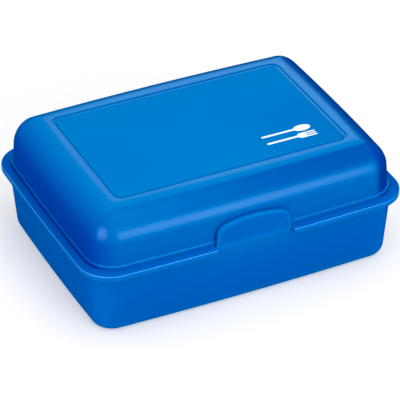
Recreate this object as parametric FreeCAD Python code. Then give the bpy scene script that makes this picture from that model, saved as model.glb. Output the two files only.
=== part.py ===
import FreeCAD, Part
import math
import os

# Click lunch box: a tray, a domed lid on a two-point snap hinge at the back, and a latch flap
# on a film hinge at the front.  Millimetres.  +Z is up, X runs along the box, the latch faces -Y,
# and the origin is the middle of the underside.

Vec = FreeCAD.Vector

# Rim of the tray: a rounded rectangle whose four sides bulge outwards a little.
rim_length = 180.0
rim_width = 133.0
rim_top = 39.2
rim_corner = 16.4
long_bulge = 1.6
short_bulge = 1.0
flange_thick = 1.4
skirt_depth = 2.9
skirt_thick = 1.2
rim_edge_round = 0.45

# Tray wall: its inset from the rim's outline, at the skirt's lower edge and just above the foot.
wall_thick = 1.5
wall_inset_top = 3.7
wall_inset_foot = 6.6
wall_corner_top = 14.6
wall_corner_foot = 11.0
foot_round = 5.6
floor_round = 4.1
foot_band = 8.5
foot_recess = 0.5
floor_thick = 1.7

# Lid: a lip that rests on the rim, a spigot that drops inside the tray, a drafted wall, a
# quarter-round shoulder, and a flat top with a shallow groove round its panel.
lid_top = 66.9
lid_inset = 5.5
lid_corner = 13.0
lid_draft = 3.7
shoulder = 15.8
least_corner = 1.0
lid_thick = 1.5
lip_proud = 0.95
lip_height = 2.2
lip_round = 0.4
spigot_depth = 2.5
spigot_inset = 5.75
spigot_corner = 12.75
spigot_taper = 0.1
panel_length = 131.0
panel_width = 83.5
panel_corner = 5.0
groove_depth = 0.45
groove_width = 1.9
groove_foot = 0.25
shoulder_steps = 9

# Latch: the flap stands in a notch of the rim and hangs on a thin film along its lower edge.
notch_half = 21.6
flap_half_base = 21.1
flap_half_top = 19.7
flap_inner_y = -62.45
flap_thick = 1.2
flap_base_z = 37.9
flap_side_z = 49.2
flap_top_z = 52.2
flap_corner = 3.5
flap_edge_round = 0.35
flap_heel = 0.4
film_thick = 0.4
film_side_gap = 0.5
film_height = 1.0
film_y = -62.85
notch_wall_y = -62.2
hinge_pad_drop = 3.9
bead_half = 15.0
bead_reach = 1.0
bead_rise = 1.5
bead_gap = 0.15
bead_slope = 0.25
bead_land = 0.25

# Back hinge: two bars across slots in the rim, gripped by two open clips on the lid.
bar_radius = 0.9
bar_y = 64.2
bar_z = 38.3
slot_centre_x = 42.0
slot_half = 8.0
slot_floor_y = 62.05
cheek_thick = 2.0
clip_half = 6.0
clip_bore = 0.95
clip_outer = 1.85
clip_mouth = 100.0
clip_lift = 0.2
clip_arm_top = 41.0
clip_arm_root_y = 60.9
clip_arm_nose = 0.6

# How far cutting shapes run past the surfaces that they cut.
margin = 1.0


def bowed_outline(length, width, corner, z):
    """Wire of a rounded rectangle whose sides are shallow arcs, tangent to round corners."""
    half_l = length / 2
    half_w = width / 2
    radius_l = (half_l ** 2 + long_bulge ** 2) / (2 * long_bulge)
    radius_w = (half_w ** 2 + short_bulge ** 2) / (2 * short_bulge)
    # The corner's centre lies where the two side arcs, moved in by the corner's radius, cross.
    long_x, long_y, long_r = 0.0, half_w - radius_l, radius_l - corner
    short_x, short_y, short_r = half_l - radius_w, 0.0, radius_w - corner
    gap = math.hypot(long_x - short_x, long_y - short_y)
    along = (short_r ** 2 - long_r ** 2 + gap ** 2) / (2 * gap)
    across = math.sqrt(short_r ** 2 - along ** 2)
    ux = (long_x - short_x) / gap
    uy = (long_y - short_y) / gap
    centre_x = short_x + along * ux - across * uy
    centre_y = short_y + along * uy + across * ux
    start = math.atan2(centre_y - short_y, centre_x - short_x)
    end = math.atan2(centre_y - long_y, centre_x - long_x)
    middle = (start + end) / 2
    arc = []
    for angle in (start, middle, end):
        arc.append((centre_x + corner * math.cos(angle), centre_y + corner * math.sin(angle)))
    edges = []
    for sx, sy in ((1, 1), (-1, 1), (-1, -1), (1, -1)):
        points = [Vec(sx * x, sy * y, z) for x, y in arc]
        if sx * sy < 0:
            points.reverse()
        edges.append(Part.Arc(*points).toShape())
        if sx * sy > 0:
            side_mid = Vec(0, sy * half_w, z)
            side_end = Vec(-points[2].x, points[2].y, z)
        else:
            side_mid = Vec(sx * half_l, 0, z)
            side_end = Vec(points[2].x, -points[2].y, z)
        edges.append(Part.Arc(points[2], side_mid, side_end).toShape())
    return Part.Wire(edges)


def rim_outline(inset, corner, z):
    """The rim's outline moved in by an inset, with its own corner radius."""
    return bowed_outline(rim_length - 2 * inset, rim_width - 2 * inset, corner, z)


def prism(inset, corner, low, high):
    face = Part.Face(rim_outline(inset, corner, low))
    return face.extrude(Vec(0, 0, high - low))


def taper(sections):
    """Solid between (inset, corner, z) sections, with straight flanks."""
    return Part.makeLoft([rim_outline(*section) for section in sections], True, True)


def box(x0, x1, y0, y1, z0, z1):
    return Part.makeBox(x1 - x0, y1 - y0, z1 - z0, Vec(x0, y0, z0))


def extrude_along_x(points, x0, x1):
    """Prism of a (y, z) polygon from x0 to x1."""
    ring = [Vec(x0, y, z) for y, z in points]
    return Part.Face(Part.makePolygon(ring + ring[:1])).extrude(Vec(x1 - x0, 0, 0))


def edges_at_height(shape, z):
    flat = []
    for edge in shape.Edges:
        bounds = edge.BoundBox
        if abs(bounds.ZMin - z) < 0.01 and abs(bounds.ZMax - z) < 0.01:
            flat.append(edge)
    return flat


def wall_inset(z):
    """Inset of the tray wall's outer face at a height."""
    slope = (wall_inset_foot - wall_inset_top) / (rim_top - skirt_depth - foot_round)
    return wall_inset_foot - slope * (z - foot_round)


def wall_corner(z):
    rise = (z - foot_round) / (rim_top - skirt_depth - foot_round)
    return wall_corner_foot + (wall_corner_top - wall_corner_foot) * rise


def make_tray():
    outer = taper([(wall_inset(0), wall_corner(0), 0), (wall_inset(rim_top), wall_corner(rim_top), rim_top)])
    outer = outer.makeFillet(foot_round, edges_at_height(outer, 0))
    above = rim_top + margin
    inner = taper([
        (wall_inset(floor_thick) + wall_thick, wall_corner(floor_thick) - wall_thick / 2, floor_thick),
        (wall_inset(above) + wall_thick, wall_corner(above) - wall_thick, above)])
    inner = inner.makeFillet(floor_round, edges_at_height(inner, floor_thick))
    recess = prism(wall_inset(0) + foot_band, wall_corner_foot / 2, -margin, foot_recess)

    skirt_low = rim_top - skirt_depth
    flange = prism(0, rim_corner, skirt_low, rim_top)
    flange = flange.makeFillet(rim_edge_round, edges_at_height(flange, rim_top))
    channel = prism(skirt_thick, rim_corner - skirt_thick, skirt_low - margin, rim_top - flange_thick)
    rim = flange.cut(channel)

    # Notch for the flap, and slots for the lid's clips with a solid cheek at each end.
    rim = rim.cut(box(-notch_half, notch_half, -rim_width, -rim_width / 2 + wall_inset_top,
                      skirt_low - margin, above))
    cheeks = []
    for side in (-1, 1):
        middle = side * slot_centre_x
        reach = slot_half + cheek_thick
        cheeks.append(box(middle - reach, middle + reach, slot_floor_y, rim_width / 2 + margin,
                          skirt_low, rim_top))
    cheek_room = prism(skirt_thick / 2, rim_corner, skirt_low, rim_top)
    rim = rim.fuse([cheek.common(cheek_room) for cheek in cheeks])

    pad_top = flap_base_z - film_height
    film_outer_y = film_y - film_thick / 2
    pad_low_z = pad_top - hinge_pad_drop
    pad_low_y = -rim_width / 2 + wall_inset(pad_low_z)
    pad = extrude_along_x([(notch_wall_y, pad_low_z), (pad_low_y, pad_low_z),
                           (film_outer_y, pad_top), (notch_wall_y, pad_top)],
                          -flap_half_base, flap_half_base)

    tray = outer.fuse([rim, pad]).cut(inner).cut(recess)
    tray = tray.cut(box(-notch_half, notch_half, -rim_width, notch_wall_y, pad_top, above))
    for side in (-1, 1):
        middle = side * slot_centre_x
        tray = tray.cut(box(middle - slot_half, middle + slot_half, slot_floor_y, rim_width,
                            skirt_low - margin, above))
    return tray.removeSplitter()


def shoulder_sections(thick):
    """(inset, corner, z) sections of the lid's rounded shoulder, moved in by a thickness."""
    wall_top = lid_top - shoulder
    wall_offset = (wall_top - rim_top) * math.tan(math.radians(lid_draft))
    radius = shoulder - thick
    sections = []
    for step in range(shoulder_steps + 1):
        angle = math.radians(90 * step / shoulder_steps)
        shift = thick + radius * (1 - math.cos(angle))
        corner = max(lid_corner - wall_offset - shift, least_corner)
        sections.append((lid_inset + wall_offset + shift, corner, wall_top + radius * math.sin(angle)))
    return sections


def lid_body(thick, low):
    """Closed block of the lid's shape from a low level to its top, moved in by a thickness."""
    sections = shoulder_sections(thick)
    wall_top = sections[0]
    foot = (lid_inset + thick, lid_corner - thick, rim_top)
    wires = [rim_outline(*section) for section in sections]
    dome = Part.makeLoft(wires, True, False)
    body = dome.fuse(taper([foot, wall_top]))
    if low < rim_top:
        body = body.fuse(prism(lid_inset + thick, lid_corner - thick, low, rim_top))
    return body


def make_lid():
    shell = lid_body(0, rim_top)
    lip = prism(lid_inset - lip_proud, lid_corner + lip_proud, rim_top, rim_top + lip_height)
    lip = lip.makeFillet(lip_round, edges_at_height(lip, rim_top + lip_height))
    spigot_low = rim_top - spigot_depth
    spigot = taper([(spigot_inset + spigot_taper, spigot_corner - spigot_taper, spigot_low),
                    (spigot_inset, spigot_corner, rim_top)])
    lid = shell.fuse([lip, spigot])
    lid = lid.cut(lid_body(lid_thick, spigot_low - margin))

    groove = panel_face(0, lid_top - groove_depth).extrude(Vec(0, 0, groove_depth + margin))
    slope_low = panel_face(groove_foot, lid_top - groove_depth).OuterWire
    slope_high = panel_face(groove_width, lid_top).OuterWire
    core = Part.makeLoft([slope_low, slope_high], True, True)
    cap = panel_face(groove_width, lid_top).extrude(Vec(0, 0, 2 * margin))
    return lid.cut(groove.cut(core).cut(cap)).removeSplitter()


def panel_face(inset, z):
    """Face of the top panel's straight-sided outline, moved in by an inset."""
    half_l = panel_length / 2 - inset
    half_w = panel_width / 2 - inset
    corner = max(panel_corner - inset, least_corner)
    block = Part.makeBox(2 * half_l, 2 * half_w, 1, Vec(-half_l, -half_w, z))
    upright = [edge for edge in block.Edges if edge.BoundBox.ZLength > 0.5]
    rounded = block.makeFillet(corner, upright)
    for face in rounded.Faces:
        if face.BoundBox.ZMax < z + 0.01:
            return face


def make_flap():
    outer_y = flap_inner_y - flap_thick
    left_base = Vec(-flap_half_base, outer_y, flap_base_z)
    right_base = Vec(flap_half_base, outer_y, flap_base_z)
    left_top = Vec(-flap_half_top, outer_y, flap_side_z)
    right_top = Vec(flap_half_top, outer_y, flap_side_z)
    edges = [Part.makeLine(left_base, right_base), Part.makeLine(right_base, right_top),
             Part.Arc(right_top, Vec(0, outer_y, flap_top_z), left_top).toShape(),
             Part.makeLine(left_top, left_base)]
    flap = Part.Face(Part.Wire(edges)).extrude(Vec(0, flap_thick, 0))
    corners = []
    for edge in flap.Edges:
        bounds = edge.BoundBox
        if bounds.YLength > flap_thick / 2 and bounds.ZMin > flap_side_z - margin:
            corners.append(edge)
    flap = flap.makeFillet(flap_corner, corners)
    rounded = []
    for edge in flap.Edges:
        bounds = edge.BoundBox
        if bounds.YLength < 0.01 and bounds.ZMax > flap_base_z + flap_heel:
            rounded.append(edge)
    flap = flap.makeFillet(flap_edge_round, rounded)
    heel = extrude_along_x([(outer_y - margin, flap_base_z - margin),
                            (outer_y + flap_heel, flap_base_z - margin),
                            (outer_y + flap_heel, flap_base_z), (outer_y, flap_base_z + flap_heel),
                            (outer_y - margin, flap_base_z + flap_heel)],
                           -flap_half_base - margin, flap_half_base + margin)
    return flap.cut(heel)


def make_film():
    half = flap_half_base - film_side_gap
    return box(-half, half, film_y - film_thick / 2, film_y + film_thick / 2,
               flap_base_z - film_height, flap_base_z)


def make_bead():
    low = rim_top + lip_height + bead_gap
    tip_y = flap_inner_y + bead_reach
    return extrude_along_x([(flap_inner_y, low), (tip_y, low + bead_slope),
                            (tip_y, low + bead_slope + bead_land), (flap_inner_y, low + bead_rise)],
                           -bead_half, bead_half)


def make_bar(side):
    return Part.makeCylinder(bar_radius, 2 * slot_half,
                             Vec(side * slot_centre_x - slot_half, bar_y, bar_z), Vec(1, 0, 0))


def make_clip(side, lid):
    start = side * slot_centre_x - clip_half
    end = side * slot_centre_x + clip_half
    ring = Part.makeCylinder(clip_outer, end - start, Vec(start, bar_y, bar_z), Vec(1, 0, 0))
    arm = extrude_along_x([(clip_arm_root_y, rim_top + clip_lift), (bar_y, rim_top + clip_lift),
                           (bar_y + clip_outer * 0.8, bar_z + clip_outer * 0.6),
                           (bar_y + clip_arm_nose / 2, clip_arm_top - clip_arm_nose / 2),
                           (bar_y - clip_arm_nose, clip_arm_top),
                           (clip_arm_root_y, clip_arm_top)], start, end)
    bore = Part.makeCylinder(clip_bore, end - start, Vec(start, bar_y, bar_z), Vec(1, 0, 0))
    half = math.radians(clip_mouth / 2)
    far = 2 * clip_outer
    mouth = extrude_along_x([(bar_y, bar_z),
                             (bar_y - far * math.sin(half), bar_z - far * math.cos(half)),
                             (bar_y + far * math.sin(half), bar_z - far * math.cos(half))], start, end)
    return ring.fuse(arm).cut(bore).cut(mouth).cut(lid).removeSplitter()


def main():
    os.makedirs("parts", exist_ok=True)
    lid = make_lid()
    nodes = {
        "tray": make_tray(),
        "lid": lid,
        "latch_flap": make_flap(),
        "latch_film": make_film(),
        "latch_bead": make_bead(),
        "hinge_bar_left": make_bar(-1),
        "hinge_bar_right": make_bar(1),
        "hinge_clip_left": make_clip(-1, lid),
        "hinge_clip_right": make_clip(1, lid),
    }
    for name, shape in nodes.items():
        solids = shape.Solids
        bounds = shape.BoundBox
        print(name, "valid", shape.isValid(), "solids", len(solids), "volume", round(shape.Volume, 1),
              "box", [round(v, 2) for v in (bounds.XMin, bounds.XMax, bounds.YMin, bounds.YMax,
                                            bounds.ZMin, bounds.ZMax)])
        shape = solids[0] if len(solids) == 1 else shape
        shape.exportStep("parts/" + name + ".step")


main()
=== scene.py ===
import math
import bpy
import bmesh
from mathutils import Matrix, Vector


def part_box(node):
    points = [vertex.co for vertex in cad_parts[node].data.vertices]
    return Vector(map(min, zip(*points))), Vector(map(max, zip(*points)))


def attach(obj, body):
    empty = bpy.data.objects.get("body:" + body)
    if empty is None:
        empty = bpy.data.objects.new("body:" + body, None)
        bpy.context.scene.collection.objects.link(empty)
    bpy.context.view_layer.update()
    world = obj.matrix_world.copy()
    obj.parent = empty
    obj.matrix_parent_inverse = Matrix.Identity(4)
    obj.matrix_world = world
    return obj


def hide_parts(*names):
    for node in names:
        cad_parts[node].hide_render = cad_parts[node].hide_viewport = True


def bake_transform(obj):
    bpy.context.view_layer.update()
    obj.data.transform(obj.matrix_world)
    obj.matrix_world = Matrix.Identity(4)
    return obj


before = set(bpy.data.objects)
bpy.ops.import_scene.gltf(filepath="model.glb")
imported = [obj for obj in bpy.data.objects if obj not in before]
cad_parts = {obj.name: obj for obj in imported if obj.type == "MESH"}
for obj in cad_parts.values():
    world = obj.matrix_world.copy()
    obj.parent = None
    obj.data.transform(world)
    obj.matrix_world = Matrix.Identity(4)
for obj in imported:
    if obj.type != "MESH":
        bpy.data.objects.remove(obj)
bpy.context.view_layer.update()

mm = 0.001
usualAngle = 32.0
quarters = (0.25, 0.5, 0.75)
scene = bpy.context.scene


# places come from the frame, in millimetres
def frameBox(node):
    low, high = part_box(node)
    return low / mm, high / mm


trayLow, trayHigh = frameBox("tray")
lidLow, lidHigh = frameBox("lid")
flapLow, flapHigh = frameBox("latch_flap")
filmLow, filmHigh = frameBox("latch_film")
barLow, barHigh = frameBox("hinge_bar_right")

rimLength = trayHigh.x - trayLow.x
rimWidth = 2 * trayHigh.y
rimTop = trayHigh.z

cameraPlan = {
    "azimuth": -25.83,
    "elevation": 33.89,
    "distance": 1315.0,
    "aim": (-0.9, -3.2, 25.1),
    "lens": 227.7,
    "sensor": 36.0,
    "nearest": 0.05,
    "farthest": 20.0,
}


def direction(azimuth, elevation):
    # unit vector, in degrees from the front towards the right, and upwards
    turn = math.radians(azimuth)
    rise = math.radians(elevation)
    return Vector((math.sin(turn) * math.cos(rise), -math.cos(turn) * math.cos(rise), math.sin(rise)))


def addCamera(plan):
    back = direction(plan["azimuth"], plan["elevation"])
    data = bpy.data.cameras.new("camera")
    data.lens = plan["lens"]
    data.sensor_width = plan["sensor"]
    data.clip_start = plan["nearest"]
    data.clip_end = plan["farthest"]
    camera = bpy.data.objects.new("camera", data)
    camera.location = (Vector(plan["aim"]) + back * plan["distance"]) * mm
    camera.rotation_euler = back.to_track_quat("Z", "Y").to_euler()
    scene.collection.objects.link(camera)
    scene.camera = camera
    print("camera placed")


addCamera(cameraPlan)


class Wire:
    # one socket of a node tree; sums and products of wires add Math nodes
    def __init__(self, graph, socket):
        self.graph = graph
        self.socket = socket

    def maths(self, operation, *values):
        return self.graph.add("ShaderNodeMath", {"operation": operation}, dict(enumerate(values)))

    def __add__(self, other):
        return self.maths("ADD", self, other)

    def __radd__(self, other):
        return self.maths("ADD", other, self)

    def __sub__(self, other):
        return self.maths("SUBTRACT", self, other)

    def __rsub__(self, other):
        return self.maths("SUBTRACT", other, self)

    def __mul__(self, other):
        return self.maths("MULTIPLY", self, other)

    def __rmul__(self, other):
        return self.maths("MULTIPLY", other, self)

    def __truediv__(self, other):
        return self.maths("DIVIDE", self, other)

    def __abs__(self):
        return self.maths("ABSOLUTE", self)

    def least(self, other):
        return self.maths("MINIMUM", self, other)

    def most(self, other):
        return self.maths("MAXIMUM", self, other)

    def root(self):
        return self.maths("SQRT", self)

    def ramp(self, low, high):
        # 0 at low, 1 at high, smooth between
        return self.graph.add("ShaderNodeMapRange", {"interpolation_type": "SMOOTHSTEP", "clamp": True},
                              {"Value": self, "From Min": low, "From Max": high})

    def rise(self, origin, stops):
        # a ramp between two stops that are measured from an origin
        low, high = stops
        return self.ramp(origin + low, origin + high)

    def band(self, origin, stops):
        # 0 outside the four stops and 1 between the middle two, measured from an origin
        start, full, fade, end = stops
        return self.rise(origin, (start, full)) * (1 - self.rise(origin, (fade, end)))


class Graph:
    def __init__(self, owner):
        # owner is a material or a world
        self.owner = owner
        owner.use_nodes = True
        self.tree = owner.node_tree
        self.tree.nodes.clear()

    def add(self, kind, settings=None, sockets=None, output=0):
        node = self.tree.nodes.new(kind)
        for name, value in (settings or {}).items():
            setattr(node, name, value)
        for name, value in (sockets or {}).items():
            if isinstance(value, Wire):
                self.tree.links.new(value.socket, node.inputs[name])
            else:
                node.inputs[name].default_value = value
        return Wire(self, node.outputs[output]) if node.outputs else None

    def split(self, vector):
        node = self.tree.nodes.new("ShaderNodeSeparateXYZ")
        self.tree.links.new(vector.socket, node.inputs[0])
        return [Wire(self, socket) for socket in node.outputs]

    def mix(self, factor, first, second):
        # the three sockets and the output of the node that mixes colours
        node = self.tree.nodes.new("ShaderNodeMix")
        node.data_type = "RGBA"
        for index, value in ((0, factor), (6, first), (7, second)):
            if isinstance(value, Wire):
                self.tree.links.new(value.socket, node.inputs[index])
            else:
                node.inputs[index].default_value = value
        return Wire(self, node.outputs[2])

    def finish(self, **sockets):
        values = {key.replace("_", " "): value for key, value in sockets.items()}
        shader = self.add("ShaderNodeBsdfPrincipled", None, values)
        self.add("ShaderNodeOutputMaterial", None, {"Surface": shader})
        return self.owner


# translucent polypropylene: colours are linear, lengths in millimetres
plasticLook = {
    # thin is a lighter blue for painted glow: light through thin plastic, and lifted shade, painted into the
    # colour
    "thin": (0.005, 0.24, 0.62, 1.0),
    # edge is a greyish light blue for painted highlights along the top edges of the rim and the lip
    "edge": (0.09, 0.27, 0.66, 1.0),
    # deep is a darker blue for painted shade: in the lid's groove, on the ends of the lip and the flange, and
    # low in the middle of the tray's walls
    "deep": (0.0, 0.045, 0.30, 1.0),
    # this light blue is used for the real scuffs and also for a painted glint along the tray's sole
    "scuffAndSoleGlint": (0.10, 0.36, 0.80, 1.0),
    "cloud": (0.0, 0.086, 0.46, 1.0),
    "shine": (0.75, 0.9, 1.0, 1.0),
    "specular": 0.22,
    "ior": 1.49,
    "roughness": 0.26,
    "cloudRoughness": 0.06,
    "scuffRoughness": 0.04,
    "grain": 2.6,
    "grainBump": 0.03,
    "grainDepth": 0.0001,
    "cloudScale": 18.0,
    "cloudStops": (-0.2, 0.3),
    "cloudShare": 0.12,
    "streakTurn": (0.3, 0.2, 0.6),
    "streakScale": (60.0, 1400.0, 500.0),
    "scuffStops": (0.14, 0.3),
    "scuffShare": 0.03,
}

# which way a surface has to face for each tone of painted light or shade, as parts of its normal
facing = {
    "sides": (0.3, 1.0),
    "top": (0.0, 1.0),
    "leftSide": (0.1, 0.7),
    "leftSideShare": 0.35,
    "shoulder": (0.35, 0.75, 0.93, 1.0),
    "shoulderFront": (0.05, 0.35),
    "shoulderAlong": (-90.0, 60.0),
    "shoulderLeast": 0.4,
    "farEnd": (0.05, 0.4),
}

# lit and shaded copies of the same plastic: each tone is painted light or shade for one way the surface faces
trayShadingTones = {
    "side": (0.0, 0.160, 0.61, 1.0),
    "front": (0.0, 0.124, 0.46, 1.0),
    "top": (0.0, 0.115, 0.44, 1.0),
    "shoulder": (0.0, 0.115, 0.44, 1.0),
    "farEnd": (0.0, 0.140, 0.55, 1.0),
}
lidShadingTones = {
    "side": (0.0, 0.086, 0.46, 1.0),
    "front": (0.0, 0.130, 0.43, 1.0),
    "top": (0.0, 0.158, 0.455, 1.0),
    "shoulder": (0.0, 0.070, 0.32, 1.0),
    "farEnd": (0.0, 0.052, 0.29, 1.0),
}
flapShadingTones = {
    "side": (0.0, 0.118, 0.44, 1.0),
    "front": (0.0, 0.124, 0.46, 1.0),
    "top": (0.0, 0.105, 0.40, 1.0),
    "shoulder": (0.0, 0.122, 0.43, 1.0),
    "farEnd": (0.0, 0.118, 0.44, 1.0),
}


def makePlastic(name, look, shadingTones, extras):
    # extras takes the graph, colour, roughness and place in millimetres, and returns the colour and roughness
    graph = Graph(bpy.data.materials.new(name))
    place = graph.add("ShaderNodeTexCoord", output=3)
    alongX, alongY, alongZ = (axis / mm for axis in graph.split(place))
    sideways, forwards, upwards = graph.split(graph.add("ShaderNodeTexCoord", output=1))

    cloud = graph.add("ShaderNodeTexNoise", None,
                      {"Vector": place, "Scale": look["cloudScale"], "Detail": 2.0})
    grain = graph.add("ShaderNodeTexNoise", None,
                      {"Vector": place, "Scale": look["grain"] / mm, "Detail": 2.0})
    streaks = graph.add("ShaderNodeMapping", None,
                        {"Vector": place, "Rotation": look["streakTurn"], "Scale": look["streakScale"]})
    scuffs = graph.add("ShaderNodeTexNoise", None, {"Vector": streaks, "Scale": 1.0, "Detail": 3.0})

    # painted light and shade: the tone follows which way the surface faces, with more of the side tone on the
    # left, the shoulder tone on the front and back shoulders, most towards the right, and the far-end tone on
    # the right
    colour = graph.mix(abs(sideways).ramp(*facing["sides"]), shadingTones["front"], shadingTones["side"])
    colour = graph.mix(upwards.ramp(*facing["top"]), colour, shadingTones["top"])
    leftSide = (0 - sideways).ramp(*facing["leftSide"])
    colour = graph.mix(leftSide * facing["leftSideShare"], colour, shadingTones["side"])
    shoulder = upwards.band(0, facing["shoulder"]) * abs(forwards).ramp(*facing["shoulderFront"])
    least = facing["shoulderLeast"]
    along = alongX.ramp(*facing["shoulderAlong"]) * (1 - least) + least
    colour = graph.mix(shoulder * along, colour, shadingTones["shoulder"])
    colour = graph.mix(sideways.ramp(*facing["farEnd"]), colour, shadingTones["farEnd"])
    cloudy = (cloud - 0.5).ramp(*look["cloudStops"])
    colour = graph.mix(cloudy * look["cloudShare"], colour, look["cloud"])
    scuffed = (scuffs - 0.5).ramp(*look["scuffStops"])
    colour = graph.mix(scuffed * look["scuffShare"], colour, look["scuffAndSoleGlint"])
    rough = cloud * look["cloudRoughness"] + scuffs * look["scuffRoughness"] + look["roughness"]
    colour, rough = extras(graph, colour, rough, alongX, alongY, alongZ)
    bump = graph.add("ShaderNodeBump", None,
                     {"Strength": look["grainBump"], "Distance": look["grainDepth"], "Height": grain})
    return graph.finish(Base_Color=colour, Roughness=rough, Normal=bump, IOR=look["ior"],
                        Specular_IOR_Level=look["specular"], Specular_Tint=look["shine"])


ringPlan = {
    "cornerSteps": 12,
    "sideCuts": 10,
    "longBulge": 1.6,
    "shortBulge": 1.0,
    "swellPower": 4,
    "bridgeGap": 0.05,
}


def addRing(bm, length, width, corner, height, bulge=1.0):
    # closed loop of edges: a rounded rectangle whose sides swell outwards; returns its edges
    longBulge = ringPlan["longBulge"] * bulge
    shortBulge = ringPlan["shortBulge"] * bulge
    halfLength = length / 2 - shortBulge
    halfWidth = width / 2 - longBulge
    ring = bmesh.new()
    made = bmesh.ops.create_grid(ring, x_segments=1, y_segments=1, size=1.0)
    bmesh.ops.scale(ring, verts=made["verts"], vec=(halfLength, halfWidth, 1.0))
    bmesh.ops.bevel(ring, geom=ring.verts[:], offset=corner, offset_type="OFFSET", affect="VERTICES",
                    segments=ringPlan["cornerSteps"], profile=0.5, material=-1)
    bmesh.ops.delete(ring, geom=ring.faces[:], context="FACES_ONLY")
    sides = sorted(ring.edges, key=lambda edge: -edge.calc_length())[:4]
    bmesh.ops.subdivide_edges(ring, edges=sides, cuts=ringPlan["sideCuts"])
    for vert in ring.verts:
        x, y = vert.co.x, vert.co.y
        swellX = shortBulge * (1 - (y / halfWidth) ** 2) * (abs(x) / halfLength) ** ringPlan["swellPower"]
        swellY = longBulge * (1 - (x / halfLength) ** 2) * (abs(y) / halfWidth) ** ringPlan["swellPower"]
        vert.co = ((x + math.copysign(swellX, x)) * mm, (y + math.copysign(swellY, y)) * mm, height)
    mesh = bpy.data.meshes.new("ring")
    ring.to_mesh(mesh)
    ring.free()
    count = len(bm.edges)
    bm.from_mesh(mesh)
    bpy.data.meshes.remove(mesh)
    bm.edges.ensure_lookup_table()
    return bm.edges[count:]


def stackRings(bm, sections):
    # walls through (length, width, corner, z, bulge) outlines, with a flat cap on the first and last
    # the rings stand well apart while they are bridged, so that the loops pair up the right way
    rings = []
    for index, (length, width, corner, z, bulge) in enumerate(sections):
        rings.append(addRing(bm, length, width, corner, index * ringPlan["bridgeGap"], bulge))
    for first, second in zip(rings, rings[1:]):
        bmesh.ops.bridge_loops(bm, edges=first + second)
    bmesh.ops.edgeloop_fill(bm, edges=rings[0])
    bmesh.ops.edgeloop_fill(bm, edges=rings[-1])
    for ring, section in zip(rings, sections):
        for edge in ring:
            for vert in edge.verts:
                vert.co.z = section[3] * mm
    bmesh.ops.recalc_face_normals(bm, faces=bm.faces[:])


def rimSections(steps):
    # outlines inset from the rim, from (inset, corner, z) steps
    return [(rimLength - 2 * inset, rimWidth - 2 * inset, corner, z, 1.0) for inset, corner, z in steps]


def around(place, steps):
    # points at small steps from a sharp corner, which together round it
    return [tuple(start + step for start, step in zip(place, move)) for move in steps]


def prismAlongX(bm, points, startX, endX):
    # closed prism of a (y, z) outline
    verts = [bm.verts.new((startX * mm, y * mm, z * mm)) for y, z in points]
    face = bmesh.ops.contextual_create(bm, geom=verts)["faces"]
    pushed = bmesh.ops.extrude_face_region(bm, geom=face, use_keep_orig=True)
    moved = [item for item in pushed["geom"] if isinstance(item, bmesh.types.BMVert)]
    bmesh.ops.translate(bm, verts=moved, vec=((endX - startX) * mm, 0, 0))
    bmesh.ops.recalc_face_normals(bm, faces=bm.faces[:])


def boxPoints(y0, y1, z0, z1):
    return [(y0, z0), (y1, z0), (y1, z1), (y0, z1)]


def smooth(mesh, smoothAngle=usualAngle):
    # edges sharper than the angle stay sharp
    for polygon in mesh.polygons:
        polygon.use_smooth = True
    mesh.set_sharp_from_angle(angle=math.radians(smoothAngle))


def makeObject(name, bm, material=None, smoothAngle=usualAngle):
    mesh = bpy.data.meshes.new(name)
    bm.to_mesh(mesh)
    bm.free()
    smooth(mesh, smoothAngle)
    if material:
        mesh.materials.append(material)
    piece = bpy.data.objects.new(name, mesh)
    scene.collection.objects.link(piece)
    return piece


def cutOrJoin(piece, tool, operation):
    # boolean with a helper object, applied to the mesh
    step = piece.modifiers.new(operation.lower(), "BOOLEAN")
    step.operation = operation
    step.solver = "EXACT"
    step.object = tool
    bpy.context.view_layer.update()
    result = bpy.data.meshes.new_from_object(piece.evaluated_get(bpy.context.evaluated_depsgraph_get()))
    piece.modifiers.clear()
    old = piece.data
    piece.data = result
    bpy.data.meshes.remove(old)
    helper = tool.data
    bpy.data.objects.remove(tool)
    bpy.data.meshes.remove(helper)


def arcSteps(centreInset, centreZ, radius, startAngle, endAngle, steps):
    # (inset, z) along a round edge; angles in degrees, 0 points outwards and 90 points up
    points = []
    for index in range(steps + 1):
        angle = math.radians(startAngle + (endAngle - startAngle) * index / steps)
        points.append((centreInset - radius * math.cos(angle), centreZ + radius * math.sin(angle)))
    return points


def settle(piece):
    # merge doubles left by a boolean and set the shading again
    bm = bmesh.new()
    bm.from_mesh(piece.data)
    closest = 0.01 * mm
    bmesh.ops.remove_doubles(bm, verts=bm.verts[:], dist=closest)
    bmesh.ops.dissolve_degenerate(bm, edges=bm.edges[:], dist=closest)
    bm.to_mesh(piece.data)
    bm.free()
    smooth(piece.data)


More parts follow.
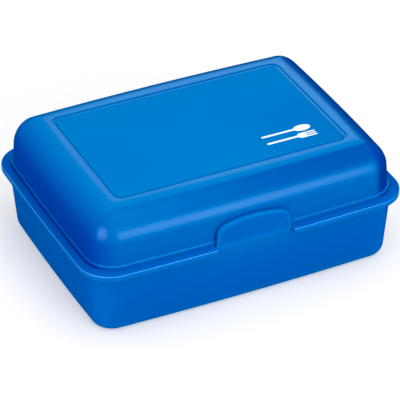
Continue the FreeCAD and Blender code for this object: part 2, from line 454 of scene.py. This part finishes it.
# steps are (inset, z) from a sharp corner
trayPlan = {
    "wall": 1.5,
    "insetTop": 3.7,
    "insetFoot": 6.6,
    "cornerTop": 14.6,
    "cornerFoot": 11.0,
    "rimCorner": 16.4,
    "flange": 1.4,
    "skirtDepth": 2.9,
    "skirt": 1.2,
    "rimRound": 0.45,
    "rimArc": 4,
    "footRound": 5.6,
    "footArc": 8,
    "floorRound": 4.1,
    "floorArc": 7,
    "footBand": 8.5,
    "footRecess": 0.5,
    "floor": 1.7,
    "notchHalf": 21.6,
    "notchWallY": -62.2,
    "padDrop": 3.9,
    "slotHalf": 8.0,
    "slotFloorY": 62.05,
    "cheek": 2.0,
    "cheekInset": 1.25,
    "cheekDrop": 0.5,
    "cheekLift": 0.05,
    "notchClear": 0.01,
    "overlap": 0.02,
    "padChamfer": 0.1,
    "cutPast": 1.0,
    "leastCorner": 1.0,
    "recessTopSteps": ((0.4, 0.0), (0.0, -0.1)),
    "recessFootSteps": ((-0.1, 0.1), (-0.4, 0.0)),
    "underEdge": 0.4,
    "underSteps": ((0.0, -0.4), (-0.12, -0.12), (-0.4, 0.0)),
    "skirtSteps": ((0.3, 0.0), (0.08, -0.08), (0.0, -0.3)),
    "hemInnerSteps": ((0.0, 0.2), (-0.06, 0.06), (-0.2, 0.0)),
    "hemOuterSteps": ((0.25, 0.0), (0.08, 0.07), (0.0, 0.25)),
    "mouthSteps": ((-0.3, 0.0), (-0.08, -0.08), (0.02, -0.3)),
}


def trayWall(plan, z):
    # inset and corner radius of the wall's outer face at a height
    rise = (z - plan["footRound"]) / (rimTop - plan["skirtDepth"] - plan["footRound"])
    inset = plan["insetFoot"] + (plan["insetTop"] - plan["insetFoot"]) * rise
    corner = plan["cornerFoot"] + (plan["cornerTop"] - plan["cornerFoot"]) * rise
    return inset, corner


def trayRings(plan):
    # (inset, corner, z) from the middle of the underside, out, up, over the rim and down to the floor
    rings = []

    def nearWall(points):
        for inset, z in points:
            wallInset, wallCorner = trayWall(plan, z)
            rings.append((inset, max(wallCorner - (inset - wallInset), plan["leastCorner"]), z))

    def nearRim(points):
        for inset, z in points:
            rings.append((inset, plan["rimCorner"] - inset, z))

    rise = rimTop - plan["skirtDepth"] - plan["footRound"]
    slope = math.degrees(math.atan((plan["insetFoot"] - plan["insetTop"]) / rise))
    lean = math.cos(math.radians(slope))
    recess = trayWall(plan, 0)[0] + plan["footBand"]
    nearWall(around((recess, plan["footRecess"]), plan["recessTopSteps"]))
    nearWall(around((recess, 0.0), plan["recessFootSteps"]))
    footRadius = plan["footRound"]
    footCentre = trayWall(plan, footRadius)[0] + footRadius * lean + plan["overlap"]
    nearWall(arcSteps(footCentre, footRadius, footRadius, -90, -slope, plan["footArc"]))
    under = rimTop - plan["flange"]
    wallTop = under - plan["underEdge"]
    for share in quarters:
        z = footRadius + (wallTop - footRadius) * share
        nearWall([(trayWall(plan, z)[0], z)])
    nearWall(around((trayWall(plan, wallTop)[0], under), plan["underSteps"]))

    skirtLow = rimTop - plan["skirtDepth"]
    nearRim(around((plan["skirt"], under), plan["skirtSteps"]))
    nearRim(around((plan["skirt"], skirtLow), plan["hemInnerSteps"]))
    nearRim(around((0.0, skirtLow), plan["hemOuterSteps"]))
    rimRound = plan["rimRound"]
    nearRim(arcSteps(rimRound, rimTop - rimRound, rimRound, 0, 90, plan["rimArc"]))

    wall = plan["wall"]
    inner = trayWall(plan, rimTop)[0] + wall
    nearRim([((rimRound + inner) / 2, rimTop)])
    nearWall(around((inner, rimTop), plan["mouthSteps"]))
    floorRadius = plan["floorRound"]
    roundTop = plan["floor"] + floorRadius
    for share in reversed(quarters):
        z = roundTop + (rimTop - roundTop) * share
        nearWall([(trayWall(plan, z)[0] + wall, z)])
    floorCentre = trayWall(plan, roundTop)[0] + wall + floorRadius * lean
    nearWall(arcSteps(floorCentre, roundTop, floorRadius, -slope, -90, plan["floorArc"]))
    return rings


def makeTray(plan, material):
    bm = bmesh.new()
    stackRings(bm, rimSections(trayRings(plan)))
    tray = makeObject("tray_shell", bm, material)

    # a pad under the flap, and a block across each back slot, which the slot then cuts in two
    skirtLow = rimTop - plan["skirtDepth"]
    padTop = filmLow.z
    padLow = padTop - plan["padDrop"]
    padFace = -rimWidth / 2 + trayWall(plan, padLow)[0] + plan["overlap"]
    wallY = plan["notchWallY"]
    chamfer = plan["padChamfer"]
    pad = [(wallY, padLow), (padFace, padLow), (filmLow.y, padTop - chamfer), (filmLow.y + chamfer, padTop),
           (wallY, padTop)]
    hingeMiddles = [side * (barLow.x + barHigh.x) / 2 for side in (-1, 1)]
    cheeks = boxPoints(plan["slotFloorY"], rimWidth / 2 - plan["cheekInset"],
                       skirtLow + plan["cheekLift"], rimTop - plan["cheekDrop"])
    reach = plan["slotHalf"] + plan["cheek"]
    added = bmesh.new()
    prismAlongX(added, pad, flapLow.x, flapHigh.x)
    for middle in hingeMiddles:
        prismAlongX(added, cheeks, middle - reach, middle + reach)
    cutOrJoin(tray, makeObject("tray_added", added), "UNION")

    # the notch for the flap and the two back slots
    above = rimTop + plan["cutPast"]
    below = skirtLow - plan["cutPast"]
    notchFace = filmLow.y - plan["notchClear"]
    notch = [(-rimWidth, below), (notchFace, below), (notchFace, padTop), (wallY, padTop), (wallY, above),
             (-rimWidth, above)]
    slots = boxPoints(plan["slotFloorY"], rimWidth, below, above)
    removed = bmesh.new()
    prismAlongX(removed, notch, -plan["notchHalf"], plan["notchHalf"])
    for middle in hingeMiddles:
        prismAlongX(removed, slots, middle - plan["slotHalf"], middle + plan["slotHalf"])
    cutOrJoin(tray, makeObject("tray_removed", removed), "DIFFERENCE")
    settle(tray)
    print("tray:", len(tray.data.polygons), "faces")
    return tray


# where the tray's colour changes, and how far each change goes: stops in millimetres, with heights from
# the table or, below zero, from the top of the rim
trayMarkPlan = {
    "coreAcross": (58.0, 82.0),
    "core": (1.0, 8.0, 14.0, 31.0),
    "coreShare": 0.13,
    "flangeTop": (-0.08, -0.02),
    "flangeEndShade": (81.0, 85.0),
    "flangeShadeShare": 0.3,
    "flangeMatt": 0.4,
    "skirt": (-3.5, -2.7, -0.2, 0.0),
    "skirtGlowShare": 0.25,
    "notchEnd": (0.05, 0.4),
    "notchEndFront": (-63.0, -62.4),
    "notchEndRise": (-3.5, -2.7),
    "notchEndGlowShare": 0.7,
    "edge": (-0.6, -0.35, -0.1, 0.0),
    "edgeHighlightShare": 0.6,
    "leftEnd": (70.0, 85.0),
    "leftEdgeHighlightShare": 0.4,
    "under": (-12.0, -4.0, -3.2, -2.9),
    "underGlowShare": 0.14,
    "foot": (0.4, 6.0),
    "footGlowShare": 0.5,
    "soleGlint": (0.3, 1.8),
    "soleGlintShare": 0.5,
}


def trayMarks(graph, colour, rough, alongX, alongY, alongZ):
    # painted shade low in the middle of the walls and on the flange's ends, and the flange's top is matt
    # painted glow on the skirt, the notch's ends, the wall under the rim and the foot; a painted highlight on
    # the rim's edge and a painted glint along the sole
    plan = trayMarkPlan
    # painted shade low in the middle of each wall, clear of the corners
    core = (1 - abs(alongX).ramp(*plan["coreAcross"])) * alongZ.band(0, plan["core"])
    colour = graph.mix(core * plan["coreShare"], colour, plasticLook["deep"])
    flangeTop = alongZ.rise(rimTop, plan["flangeTop"])
    # painted shade on the flange's top at both ends of the tray
    flange = flangeTop * abs(alongX).ramp(*plan["flangeEndShade"])
    colour = graph.mix(flange * plan["flangeShadeShare"], colour, plasticLook["deep"])
    rough = rough + flangeTop * plan["flangeMatt"]

    # painted glow on the skirt, as light through the thin hem
    skirt = alongZ.band(rimTop, plan["skirt"])
    colour = graph.mix(skirt * plan["skirtGlowShare"], colour, plasticLook["thin"])
    # painted glow on the notch's cut ends, lifting the shade there
    fromNotch = abs(abs(alongX) - trayPlan["notchHalf"])
    notchEnd = (1 - fromNotch.ramp(*plan["notchEnd"])) * (1 - alongY.ramp(*plan["notchEndFront"]))
    notchEnd = notchEnd * alongZ.rise(rimTop, plan["notchEndRise"])
    colour = graph.mix(notchEnd * plan["notchEndGlowShare"], colour, plasticLook["thin"])
    # painted highlight along the rim's top edge, stronger towards the left end
    leftEnd = (0 - alongX).ramp(*plan["leftEnd"])
    edge = alongZ.band(rimTop, plan["edge"]) * (plan["edgeHighlightShare"] + leftEnd * plan["leftEdgeHighlightShare"])
    colour = graph.mix(edge, colour, plasticLook["edge"])

    # painted glow on the wall under the rim, lifting the shade cast by the flange
    under = alongZ.band(rimTop, plan["under"])
    colour = graph.mix(under * plan["underGlowShare"], colour, plasticLook["thin"])
    # painted glow at the foot, lifting the contact shade at the table
    foot = 1 - alongZ.ramp(*plan["foot"])
    colour = graph.mix(foot * plan["footGlowShare"], colour, plasticLook["thin"])
    # painted glint along the sole, where the foot's rounding reflects the table
    soleGlint = 1 - alongZ.ramp(*plan["soleGlint"])
    return graph.mix(soleGlint * plan["soleGlintShare"], colour, plasticLook["scuffAndSoleGlint"]), rough


trayPlastic = makePlastic("tray plastic", plasticLook, trayShadingTones, trayMarks)
tray = makeTray(trayPlan, trayPlastic)
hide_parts("tray")
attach(tray, "tray")

# steps are (inset, corner, z) from a sharp corner, and (inset, z) round the panel and its groove
lidPlan = {
    "inset": 5.5,
    "corner": 13.0,
    "draft": 3.7,
    "wallShares": (0.35, 0.7),
    "shoulder": 15.8,
    "insideArc": 12,
    "outsideArc": 16,
    "leastCorner": 1.0,
    "wall": 1.5,
    "lipProud": 0.95,
    "lipHeight": 2.2,
    "lipRound": 0.4,
    "lipArc": 4,
    "spigotInset": 5.8,
    "spigotCorner": 12.7,
    "insideSteps": ((0.0, 0.0, 0.25), (-0.1, 0.1, 0.05), (-0.3, 0.3, 0.0)),
    "spigotSteps": ((0.45, -0.25, 0.0), (0.2, -0.1, 0.08), (0.1, 0.0, 0.3)),
    "lipSteps": ((0.15, -0.15, 0.0), (0.04, -0.04, 0.04), (0.0, 0.0, 0.18)),
    "wallFootSteps": ((-0.12, 0.12, 0.0), (-0.02, 0.0, 0.1), (0.01, -0.05, 0.3)),
    "panelLength": 131.0,
    "panelWidth": 83.5,
    "panelCorner": 5.0,
    "panelLeastCorner": 1.5,
    "panelDrop": 0.05,
    "grooveDepth": 0.45,
    "grooveWidth": 1.35,
    "frameSteps": ((-0.5, 0.0), (-0.2, -0.03), (0.0, -0.12)),
    "grooveOuterSteps": ((0.1, 0.05), (0.3, 0.0)),
    "grooveInnerSteps": ((-0.2, 0.0), (0.0, 0.06)),
    "panelSteps": ((0.1, -0.1), (0.3, -0.02), (0.7, 0.0)),
}


def lidDome(plan, thick, steps):
    # (inset, corner, z) of the wall and the rounded shoulder, moved in by a thickness, upwards
    wallTop = lidHigh.z - plan["shoulder"]
    lean = math.tan(math.radians(plan["draft"]))
    rings = []
    for share in plan["wallShares"]:
        z = rimTop + plan["lipHeight"] + (wallTop - rimTop - plan["lipHeight"]) * share
        offset = (z - rimTop) * lean + thick
        rings.append((plan["inset"] + offset, plan["corner"] - offset, z))
    offset = (wallTop - rimTop) * lean
    radius = plan["shoulder"] - thick
    for index in range(steps + 1):
        angle = math.radians(90 * index / steps)
        shift = thick + radius * (1 - math.cos(angle))
        corner = max(plan["corner"] - offset - shift, plan["leastCorner"])
        rings.append((plan["inset"] + offset + shift, corner, wallTop + radius * math.sin(angle)))
    return rings


def lidRings(plan):
    # from the middle of the inside, down the inner wall, round the spigot and lip, and over the outside
    wall = plan["wall"]
    inner = plan["inset"] + wall
    innerCorner = plan["corner"] - wall
    low = lidLow.z
    rings = list(reversed(lidDome(plan, wall, plan["insideArc"])))
    rings.append((inner, innerCorner, rimTop))
    rings += around((inner, innerCorner, low), plan["insideSteps"])
    rings += around((plan["spigotInset"], plan["spigotCorner"], low), plan["spigotSteps"])
    rings.append((plan["spigotInset"], plan["spigotCorner"], rimTop))

    proud = plan["inset"] - plan["lipProud"]
    corner = plan["corner"] + plan["lipProud"]
    top = rimTop + plan["lipHeight"]
    rings += around((proud, corner, rimTop), plan["lipSteps"])
    lipRound = plan["lipRound"]
    for inset, z in arcSteps(proud + lipRound, top - lipRound, lipRound, 0, 90, plan["lipArc"]):
        rings.append((inset, corner - (inset - proud), z))
    foot = plan["inset"] + plan["lipHeight"] * math.tan(math.radians(plan["draft"]))
    rings += around((foot, plan["corner"], top), plan["wallFootSteps"])
    rings += lidDome(plan, 0, plan["outsideArc"])
    return rings


def panelRings(plan):
    # (inset, z) from the frame round the panel, down into the groove and up to the panel
    top = lidHigh.z
    deep = top - plan["grooveDepth"]
    width = plan["grooveWidth"]
    points = around((0.0, top), plan["frameSteps"]) + around((0.0, deep), plan["grooveOuterSteps"])
    points += around((width, deep), plan["grooveInnerSteps"])
    return points + around((width, top - plan["panelDrop"]), plan["panelSteps"])


def makeLid(plan, material):
    bm = bmesh.new()
    sections = rimSections(lidRings(plan))
    for inset, z in panelRings(plan):
        corner = max(plan["panelCorner"] - inset, plan["panelLeastCorner"])
        sections.append((plan["panelLength"] - 2 * inset, plan["panelWidth"] - 2 * inset, corner, z, 0.0))
    stackRings(bm, sections)
    lid = makeObject("lid_shell", bm, material)
    print("lid:", len(lid.data.polygons), "faces")
    return lid


# white print in a corner of the panel: a spoon above a fork, in millimetres from its centre
printPlan = {
    "ink": (0.74, 0.80, 0.90, 1.0),
    "centre": (39.0, -25.2),
    "soft": 0.12,
    "handle": (-13.5, 5.0, 0.75),
    "spoonRow": 3.3,
    "bowl": (8.8, 4.8, 2.7),
    "forkRow": -3.3,
    "head": (5.6, 2.6, 2.3),
    "tine": (6.5, 13.2, 0.5),
    "tineGap": 1.75,
}


def printMask(plan, alongX, alongY):
    # each shape gives the distance to its outline, below zero inside, and the nearest one counts
    right = alongX - plan["centre"][0]
    up = alongY - plan["centre"][1]

    def bar(shape, row):
        start, end, radius = shape
        past = (abs(right - (start + end) / 2) - (end - start) / 2).most(0.0)
        across = up - row
        return (past * past + across * across).root() - radius

    def oval(shape, row):
        middle, halfLength, halfWidth = shape
        along = (right - middle) / halfLength
        across = (up - row) / halfWidth
        return ((along * along + across * across).root() - 1.0) * halfWidth

    nearest = bar(plan["handle"], plan["spoonRow"]).least(oval(plan["bowl"], plan["spoonRow"]))
    nearest = nearest.least(bar(plan["handle"], plan["forkRow"])).least(oval(plan["head"], plan["forkRow"]))
    for step in (-1, 0, 1):
        nearest = nearest.least(bar(plan["tine"], plan["forkRow"] + step * plan["tineGap"]))
    return 1 - nearest.ramp(-plan["soft"], plan["soft"])


# where the lid's colour and polish change, and how far each change goes: stops in millimetres, outwards
# from the panel's edge, or upwards from the lid's top, the top of the rim or the top of the lip
lidMarkPlan = {
    "top": (-0.3, -0.1),
    "panel": (-2.6, -1.8),
    "panelMatt": 0.4,
    "groove": (-2.0, -1.8, 0.1, 0.3),
    "grooveWalls": (-0.42, -0.36, -0.16, -0.1),
    "grooveShadeShare": 0.8,
    "lipFoot": (-0.1, 0.0, 0.2, 1.0),
    "lipFootGlowShare": 0.5,
    "lipEdgeHighlight": (-0.5, -0.3, 0.02, 0.1),
    "lipEdgeHighlightShare": 0.25,
    "cornerAlong": (10.0, 75.0),
    "cornerForwards": (-30.0, 40.0),
    "cornerShadeShare": 0.3,
    "lipEnds": (79.0, 84.0),
    "lipEndsFrom": (-0.1, 0.0),
    "lipEndsTo": (0.1, 0.5),
    "lipEndsShadeShare": 0.45,
}


def lidMarks(graph, colour, rough, alongX, alongY, alongZ):
    # the panel is matt with painted shade at its front right, and the groove's walls and the lip's ends get
    # painted shade;
    # the lip's foot gets a painted glow and its edge a painted highlight, and the print is on the top alone
    plan = lidMarkPlan
    onTop = alongZ.rise(lidHigh.z, plan["top"])
    past = (abs(alongX) - lidPlan["panelLength"] / 2).most(abs(alongY) - lidPlan["panelWidth"] / 2)
    panel = (1 - past.ramp(*plan["panel"])) * onTop
    rough = rough + panel * plan["panelMatt"]
    # painted shade on the groove's walls
    walls = past.band(0, plan["groove"]) * alongZ.band(lidHigh.z, plan["grooveWalls"])
    colour = graph.mix(walls * plan["grooveShadeShare"], colour, plasticLook["deep"])

    lipHeight = lidPlan["lipHeight"]
    # painted glow at the lip's foot, lifting the shade in the crease above the rim
    lipFoot = alongZ.band(rimTop, plan["lipFoot"])
    colour = graph.mix(lipFoot * plan["lipFootGlowShare"], colour, plasticLook["thin"])
    # painted highlight along the lip's top edge
    lipEdgeHighlight = alongZ.band(rimTop + lipHeight, plan["lipEdgeHighlight"])
    colour = graph.mix(lipEdgeHighlight * plan["lipEdgeHighlightShare"], colour, plasticLook["edge"])
    # painted shade on the panel towards its front right corner
    corner = alongX.ramp(*plan["cornerAlong"]) * (0 - alongY).ramp(*plan["cornerForwards"])
    colour = graph.mix(corner * panel * plan["cornerShadeShare"], colour, lidShadingTones["shoulder"])
    # painted shade on the lip at both ends of the lid
    lip = alongZ.rise(rimTop, plan["lipEndsFrom"]) * (1 - alongZ.rise(rimTop + lipHeight, plan["lipEndsTo"]))
    lipEnds = lip * abs(alongX).ramp(*plan["lipEnds"])
    colour = graph.mix(lipEnds * plan["lipEndsShadeShare"], colour, plasticLook["deep"])
    return graph.mix(printMask(printPlan, alongX, alongY) * onTop, colour, printPlan["ink"]), rough


lidPlastic = makePlastic("lid plastic", plasticLook, lidShadingTones, lidMarks)
lid = makeLid(lidPlan, lidPlastic)
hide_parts("lid")
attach(lid, "lid")

notchGap = 0.25
flapPlan = {
    "halfFoot": trayPlan["notchHalf"] - notchGap,
    "halfTop": 19.7,
    "sideZ": 49.2,
    "corner": 3.5,
    "cornerSteps": 8,
    "spacing": 2.0,
    "leastCuts": 3,
    "edgeRound": 0.35,
    "edgeSteps": 3,
    "smoothAngle": 60.0,
    "border": 1.1,
    "dish": 0.22,
    "dishSteps": ((0.5, 0.25), (0.5, 0.45), (0.5, 0.3)),
    "archPower": 3,
    "lean": 0.6,
    "leanFrom": 43.5,
    "leanPower": 1.5,
    "returnInset": 0.1,
    "returnBehind": 0.5,
    "returnWidth": 1.1,
    "returnDepth": 1.2,
    "returnFrom": (42.0, 42.8),
}


def portion(value, low, high):
    # 0 up to low, 1 from high, straight between
    return min(max((value - low) / (high - low), 0), 1)


def flapPlate(bm, plan):
    # an upright sheet that narrows upwards to rounded corners and an arched top
    made = bmesh.ops.create_grid(bm, x_segments=1, y_segments=1, size=1.0)
    for vert in made["verts"]:
        upper = vert.co.y > 0
        half = plan["halfTop"] if upper else plan["halfFoot"]
        z = plan["sideZ"] if upper else flapLow.z
        vert.co = (math.copysign(half, vert.co.x) * mm, flapLow.y * mm, z * mm)
    middleZ = (flapLow.z + plan["sideZ"]) / 2
    tops = [vert for vert in bm.verts if vert.co.z > middleZ * mm]
    bmesh.ops.bevel(bm, geom=tops, offset=plan["corner"] * mm, offset_type="OFFSET", affect="VERTICES",
                    segments=plan["cornerSteps"], profile=0.5, material=-1)
    for edge in sorted(bm.edges, key=lambda edge: -edge.calc_length())[:4]:
        cuts = max(int(edge.calc_length() / (plan["spacing"] * mm)), plan["leastCuts"])
        bmesh.ops.subdivide_edges(bm, edges=[edge], cuts=cuts)
    arch = flapHigh.z - plan["sideZ"]
    for vert in bm.verts:
        up = portion(vert.co.z / mm, flapLow.z, plan["sideZ"])
        across = vert.co.x / mm / plan["halfTop"]
        vert.co.z += arch * mm * up ** plan["archPower"] * (1 - across ** 2)


def dishFront(bm, plan):
    # a shallow dish inside the flap's border
    face = max((face for face in bm.faces if face.normal.y < -0.9), key=lambda face: face.calc_area())
    for thickness, depth in ((plan["border"], 0.0),) + plan["dishSteps"]:
        bmesh.ops.inset_region(bm, faces=[face], thickness=thickness * mm, depth=0, use_even_offset=False)
        for vert in face.verts:
            vert.co.y += plan["dish"] * depth * mm


def turnEdgeBack(bm, plan):
    # above the lid's lip the flap's edge turns back towards the lid
    back = max((face for face in bm.faces if face.normal.y > 0.9), key=lambda face: face.calc_area())
    for thickness in (plan["returnInset"], plan["returnWidth"]):
        bmesh.ops.inset_region(bm, faces=[back], thickness=thickness * mm, depth=0, use_even_offset=False)
    innerVerts = set(back.verts)
    for vert in bm.verts:
        if vert.co.y > (flapHigh.y - plan["returnBehind"]) * mm and vert not in innerVerts:
            vert.co.y += plan["returnDepth"] * portion(vert.co.z / mm, *plan["returnFrom"]) * mm


def makeFlap(plan, material):
    bm = bmesh.new()
    flapPlate(bm, plan)
    pushed = bmesh.ops.extrude_face_region(bm, geom=bm.faces[:], use_keep_orig=True)
    moved = [item for item in pushed["geom"] if isinstance(item, bmesh.types.BMVert)]
    bmesh.ops.translate(bm, verts=moved, vec=(0, (flapHigh.y - flapLow.y) * mm, 0))
    bmesh.ops.recalc_face_normals(bm, faces=bm.faces[:])
    rims = [edge for edge in bm.edges if edge.calc_face_angle(0) > 1.0
            and abs(edge.verts[0].co.y - edge.verts[1].co.y) < 0.1 * mm]
    bmesh.ops.bevel(bm, geom=rims, offset=plan["edgeRound"] * mm, offset_type="OFFSET", affect="EDGES",
                    segments=plan["edgeSteps"], profile=0.5, material=-1)
    dishFront(bm, plan)
    turnEdgeBack(bm, plan)
    for vert in bm.verts:
        up = max((vert.co.z / mm - plan["leanFrom"]) / (flapHigh.z - plan["leanFrom"]), 0)
        vert.co.y += plan["lean"] * up ** plan["leanPower"] * mm
    bmesh.ops.recalc_face_normals(bm, faces=bm.faces[:])
    flap = makeObject("latch_flap_plate", bm, material, plan["smoothAngle"])
    print("latch flap:", len(flap.data.polygons), "faces")
    return flap


# stops in millimetres, inwards from the flap's outline or upwards from the top of the rim
flapMarkPlan = {
    "border": (0.6, 3.0),
    "borderGlowShare": 0.26,
    "band": (-0.6, 0.4),
    "bandGlowShare": 0.36,
}


def flapMarks(graph, colour, rough, alongX, alongY, alongZ):
    # a painted glow on the border, where the edge is thin, and a painted glow in a band along the film hinge
    plan = flapMarkPlan
    height = (alongZ - flapLow.z) / (flapPlan["sideZ"] - flapLow.z)
    across = alongX / flapPlan["halfTop"]
    fromSide = flapPlan["halfFoot"] - height * (flapPlan["halfFoot"] - flapPlan["halfTop"]) - abs(alongX)
    fromTop = flapPlan["sideZ"] + (1 - across * across) * (flapHigh.z - flapPlan["sideZ"]) - alongZ
    border = (1 - fromSide.least(fromTop).ramp(*plan["border"])) * plan["borderGlowShare"]
    band = (1 - alongZ.rise(rimTop, plan["band"])) * plan["bandGlowShare"]
    return graph.mix(border.most(band), colour, plasticLook["thin"]), rough


flapPlastic = makePlastic("flap plastic", plasticLook, flapShadingTones, flapMarks)
flap = makeFlap(flapPlan, flapPlastic)
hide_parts("latch_flap")
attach(flap, "flap")

filmPlan = {"cuts": 6, "neck": 0.7}


def makeFilm(plan, material):
    bm = bmesh.new()
    middleY = (filmLow.y + filmHigh.y) / 2
    prismAlongX(bm, boxPoints(filmLow.y, filmHigh.y, filmLow.z, filmHigh.z), filmLow.x, filmHigh.x)
    upright = [edge for edge in bm.edges if abs(edge.verts[0].co.z - edge.verts[1].co.z) > 0.5 * mm]
    bmesh.ops.subdivide_edges(bm, edges=upright, cuts=plan["cuts"], use_grid_fill=True)
    middleZ = (filmLow.z + filmHigh.z) / 2
    for vert in bm.verts:
        away = abs(vert.co.z / mm - middleZ) / ((filmHigh.z - filmLow.z) / 2)
        thin = plan["neck"] + (1 - plan["neck"]) * away ** 2
        vert.co.y = (middleY + (vert.co.y / mm - middleY) * thin) * mm
    film = makeObject("latch_film_web", bm, material)
    print("film hinge:", len(film.data.polygons), "faces")
    return film


film = makeFilm(filmPlan, flapPlastic)
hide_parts("latch_film")
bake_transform(film)


def paint(names, material):
    for name in names:
        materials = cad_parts[name].data.materials
        materials.clear()
        materials.append(material)


paint(("latch_bead", "hinge_bar_left", "hinge_bar_right"), trayPlastic)
paint(("hinge_clip_left", "hinge_clip_right"), lidPlastic)
print("CAD nodes painted")

studioPlan = {
    "floor": (0.53, 0.53, 0.54, 1.0),
    "floorGlow": (0.37, 0.365, 0.36, 1.0),
    "floorRoughness": 0.9,
    "floorSpecular": 0.1,
    "floorSize": 4.0,
    "zenith": (1.0, 1.0, 1.0, 1.0),
    "horizon": (0.22, 0.23, 0.26, 1.0),
    "below": (0.03, 0.05, 0.10, 1.0),
    "skyRise": (0.0, 0.9),
    "skyRight": (0.0, 0.8),
    "skyFoot": (-0.06, 0.0),
    "rightDim": 0.5,
    "worldStrength": 1.2,
    "lampsRound": (0.0, 0.0, 0.04),
    "blackLevel": (0.038, 0.03, 0.03),
}

# softboxes stand round the box: azimuth from the front towards the right, elevation, distance, size in
# metres, brightness, and whether they only light the surface, only shine in it, or both
softboxPlan = {
    "overhead": (8.0, 68.0, 1.1, (1.2, 1.0), 1.45, "both"),
    "front fill": (5.0, 25.0, 1.2, (0.6, 0.6), 4.2, "fill"),
    "front right strip": (17.5, 7.5, 1.0, (0.61, 0.52), 6.9, "shine"),
    "left corner": (-67.0, 15.5, 1.0, (0.72, 0.75), 6.8, "shine"),
    "behind": (151.0, 29.0, 1.2, (0.5, 0.4), 2.0, "shine"),
}


def addFloor(plan):
    bm = bmesh.new()
    bmesh.ops.create_grid(bm, x_segments=1, y_segments=1, size=plan["floorSize"])
    graph = Graph(bpy.data.materials.new("floor paper"))
    material = graph.finish(Base_Color=plan["floor"], Roughness=plan["floorRoughness"],
                            Specular_IOR_Level=plan["floorSpecular"],
                            Emission_Color=plan["floorGlow"], Emission_Strength=1.0)
    floor = makeObject("floor", bm, material)
    floor.visible_glossy = False


def addSoftbox(name, plan):
    azimuth, elevation, distance, size, brightness, use = plan
    away = direction(azimuth, elevation)
    data = bpy.data.lights.new(name, "AREA")
    data.shape = "RECTANGLE"
    data.size, data.size_y = size
    data.energy = brightness * math.pi * size[0] * size[1]
    lamp = bpy.data.objects.new(name, data)
    lamp.location = away * distance + Vector(studioPlan["lampsRound"])
    lamp.rotation_euler = away.to_track_quat("Z", "Y").to_euler()
    lamp.visible_camera = False
    lamp.visible_diffuse = use != "shine"
    lamp.visible_glossy = use != "fill"
    scene.collection.objects.link(lamp)


def addWorld(plan):
    # a bright ceiling that fades towards the horizon and to the right, over a dark foot
    world = bpy.data.worlds.new("studio")
    graph = Graph(world)
    sideways, forwards, upwards = graph.split(graph.add("ShaderNodeTexCoord"))
    sky = graph.mix(upwards.ramp(*plan["skyRise"]), plan["horizon"], plan["zenith"])
    sky = graph.mix(sideways.ramp(*plan["skyRight"]) * plan["rightDim"], sky, plan["horizon"])
    sky = graph.mix(upwards.ramp(*plan["skyFoot"]), plan["below"], sky)
    light = graph.add("ShaderNodeBackground", None, {"Color": sky, "Strength": plan["worldStrength"]})
    graph.add("ShaderNodeOutputWorld", None, {"Surface": light})
    scene.world = world


addFloor(studioPlan)
addWorld(studioPlan)
for name, plan in softboxPlan.items():
    addSoftbox(name, plan)
scene.view_settings.view_transform = "Standard"
scene.view_settings.use_curve_mapping = True
scene.view_settings.curve_mapping.black_level = studioPlan["blackLevel"]
print("studio lit")
